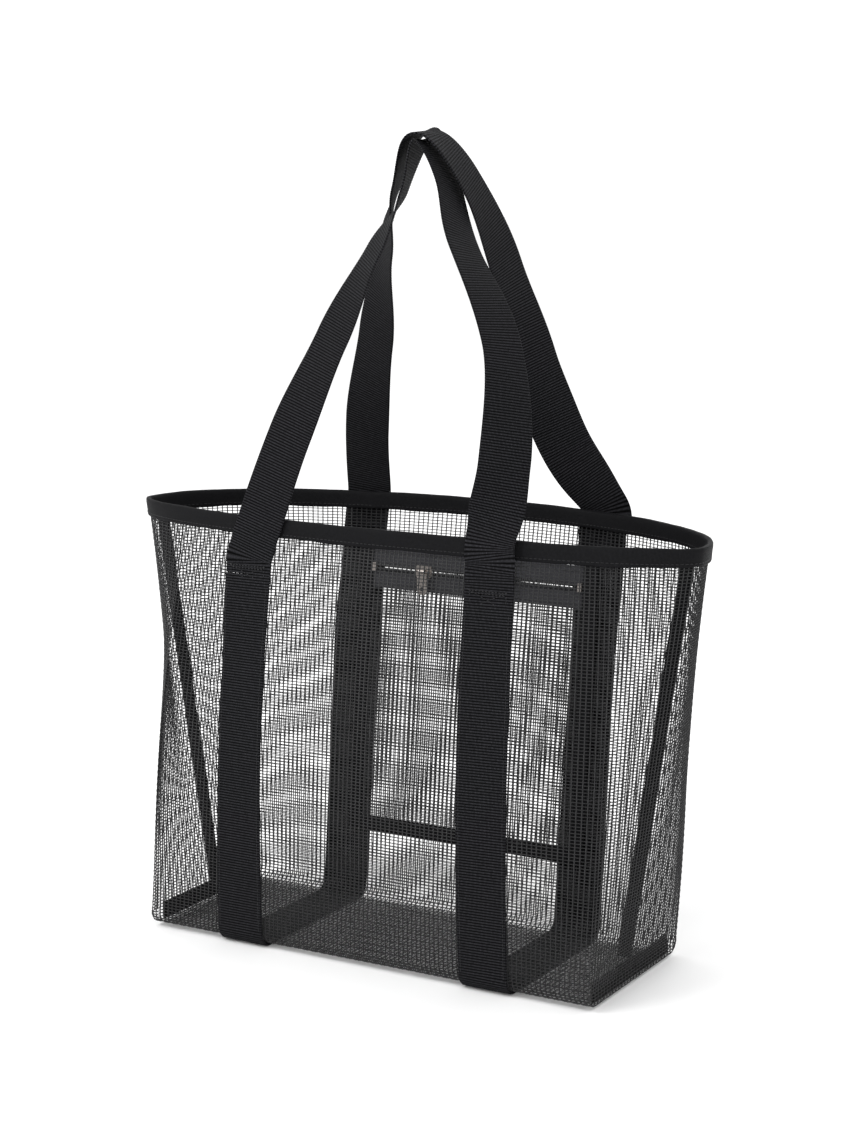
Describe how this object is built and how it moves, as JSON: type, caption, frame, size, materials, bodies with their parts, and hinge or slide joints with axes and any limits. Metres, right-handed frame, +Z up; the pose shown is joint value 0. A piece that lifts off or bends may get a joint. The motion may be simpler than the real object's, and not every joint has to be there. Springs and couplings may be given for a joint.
{
  "type": "beach bag",
  "caption": "Open tote bag of coated netting with bound rim, webbing straps, two tall handle loops and an inner zip pocket.",
  "frame": {"origin": "on the resting surface, under the middle of the bag's bounding box", "axes": "+X along the bag to the right, +Y from the front panel to the back panel with the pocket, +Z up"},
  "size_m": [0.4414, 0.1829, 0.5658],
  "materials": {
    "netting": "open square netting with a glossy plastic coat, black",
    "webbing": "flat ribbed webbing, matte black",
    "binding": "folded grosgrain tape, satin black",
    "zip_tape": "woven zip tape, matte black",
    "coil": "black nylon coil",
    "thread": "black sewing thread",
    "zip_metal": "dull gunmetal"
  },
  "bodies": {
    "root": {"back_panel": "netting", "base_panel": "netting", "front_panel": "netting", "left_corner_binding": "binding", "left_side_binding": "binding", "left_strap": "webbing", "pocket_bottom_binding": "binding", "pocket_left_binding": "binding", "pocket_panel": "netting", "pocket_right_binding": "binding", "right_corner_binding": "binding", "right_side_binding": "binding", "right_strap": "webbing", "rim_binding": "binding", "strap_bartacks": "thread", "zip_lower_coil": "coil", "zip_lower_tape": "zip_tape", "zip_stops": "zip_metal", "zip_upper_coil": "coil", "zip_upper_tape": "zip_tape"},
    "front_handle": {"front_handle": "webbing"},
    "back_handle": {"back_handle": "webbing"},
    "zip_slider": {"zip_slider": "zip_metal"},
    "zip_pull": {"zip_pull_tab": "zip_metal"}
  },
  "joints": [
    {"name": "front_handle_fold", "type": "hinge", "parent": "root", "child": "front_handle", "pos_m": [0, -0.07056, 0.272], "axis": [1, 0, 0], "range_deg": [0, 135]},
    {"name": "back_handle_fold", "type": "hinge", "parent": "root", "child": "back_handle", "pos_m": [0, 0.08046, 0.272], "axis": [-1, 0, 0], "range_deg": [0, 135]},
    {"name": "zip_slide", "type": "slide", "parent": "root", "child": "zip_slider", "axis": [1, 0, 0], "range_m": [-0.033, 0.116]},
    {"name": "zip_pull_swing", "type": "hinge", "parent": "zip_slider", "child": "zip_pull", "pos_m": [-0.0385, 0.0632, 0.24762], "axis": [-1, 0, 0], "range_deg": [-5, 150]}
  ]
}
